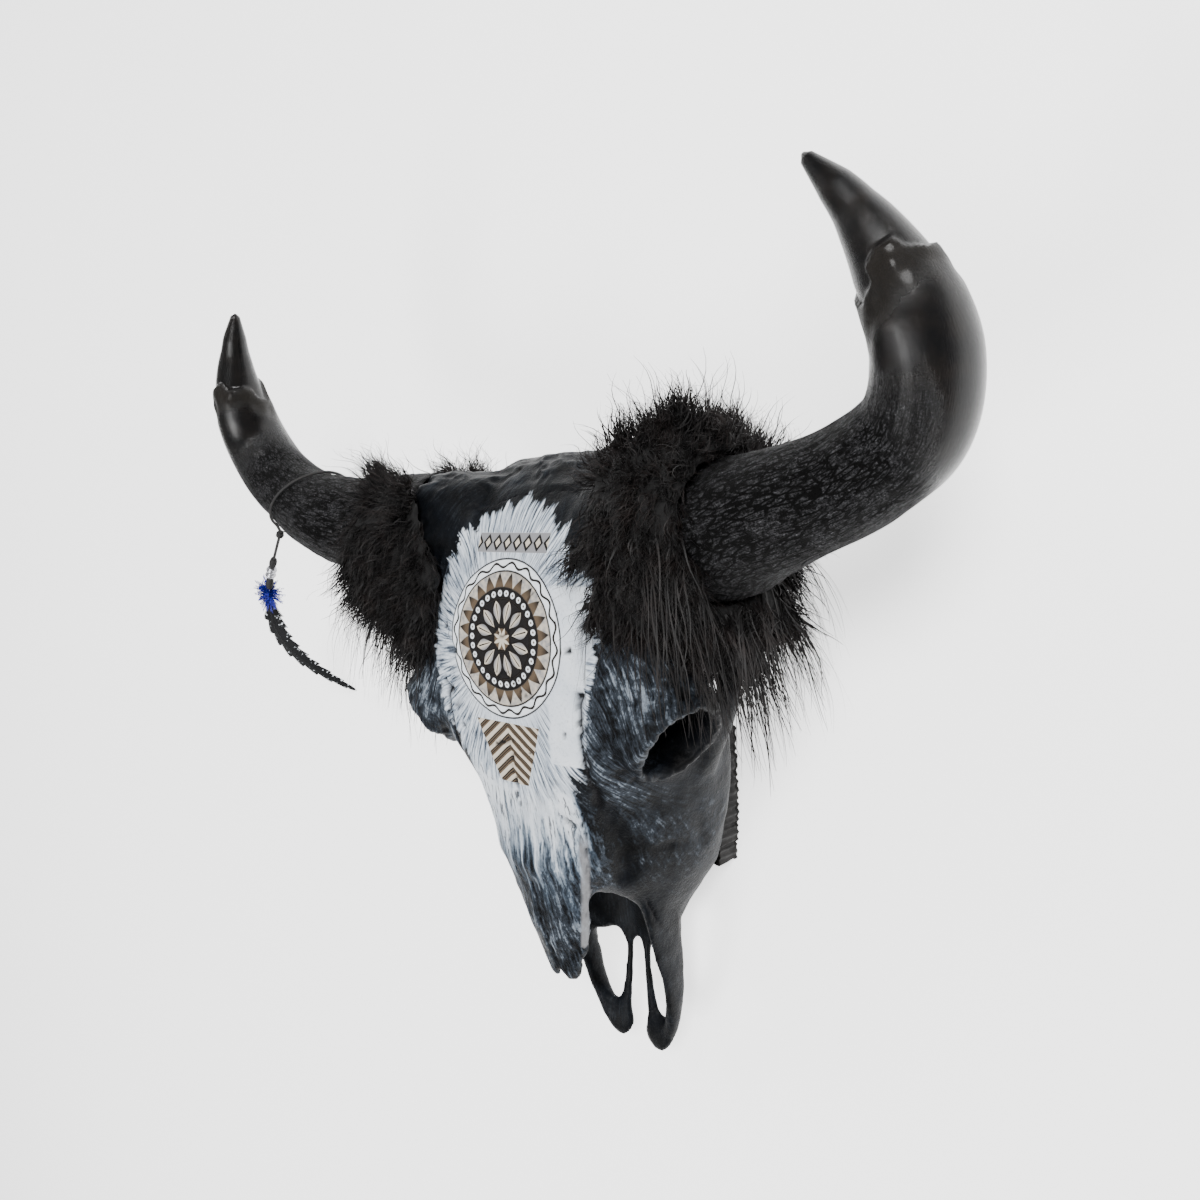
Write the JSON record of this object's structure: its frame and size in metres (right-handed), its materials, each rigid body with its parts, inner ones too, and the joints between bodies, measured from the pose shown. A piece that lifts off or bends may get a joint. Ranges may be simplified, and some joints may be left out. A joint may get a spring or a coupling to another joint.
{
  "type": "carved and painted bison skull",
  "caption": "Bison skull, painted and carved on the forehead, with black horn sheaths, dark hide left round the horn bases and a beaded feather pendant; lies on its teeth, forehead up.",
  "frame": {"origin": "on the surface it rests on, under the middle of the skull, horns and hides", "axes": "+X to the skull's left, -Y out of the muzzle, +Z out of the forehead"},
  "size_m": [0.8498, 0.6515, 0.2511],
  "materials": {
    "painted_bone": "bone painted satin black, brushed white on the forehead and nose bones",
    "painted_teeth": "painted dark grey-brown, satin",
    "horn_sheath": "black horn, polished at the tip, cracked and dull at the base",
    "hair": "dark brown-black curly hair",
    "thong": "thin black thong and wrapping",
    "beads": "silvery white beads",
    "blue_down": "royal blue down",
    "feather": "glossy black barbs"
  },
  "bodies": {
    "root": {"skull": "painted_bone", "tooth_left_1": "painted_teeth", "tooth_left_2": "painted_teeth", "tooth_left_3": "painted_teeth", "tooth_left_4": "painted_teeth", "tooth_left_5": "painted_teeth", "tooth_left_6": "painted_teeth", "tooth_right_1": "painted_teeth", "tooth_right_2": "painted_teeth", "tooth_right_3": "painted_teeth", "tooth_right_4": "painted_teeth", "tooth_right_5": "painted_teeth", "tooth_right_6": "painted_teeth", "horn_left": "horn_sheath", "horn_right": "horn_sheath", "hide_left": "hair", "hide_right": "hair", "horn_thong": "thong", "thong_knot": "thong", "pendant_thong": "thong", "wrap_upper": "thong", "wrap_lower": "thong", "bead_upper": "beads", "bead_lower": "beads", "blue_tuft": "blue_down", "feather": "feather"}
  },
  "joints": []
}
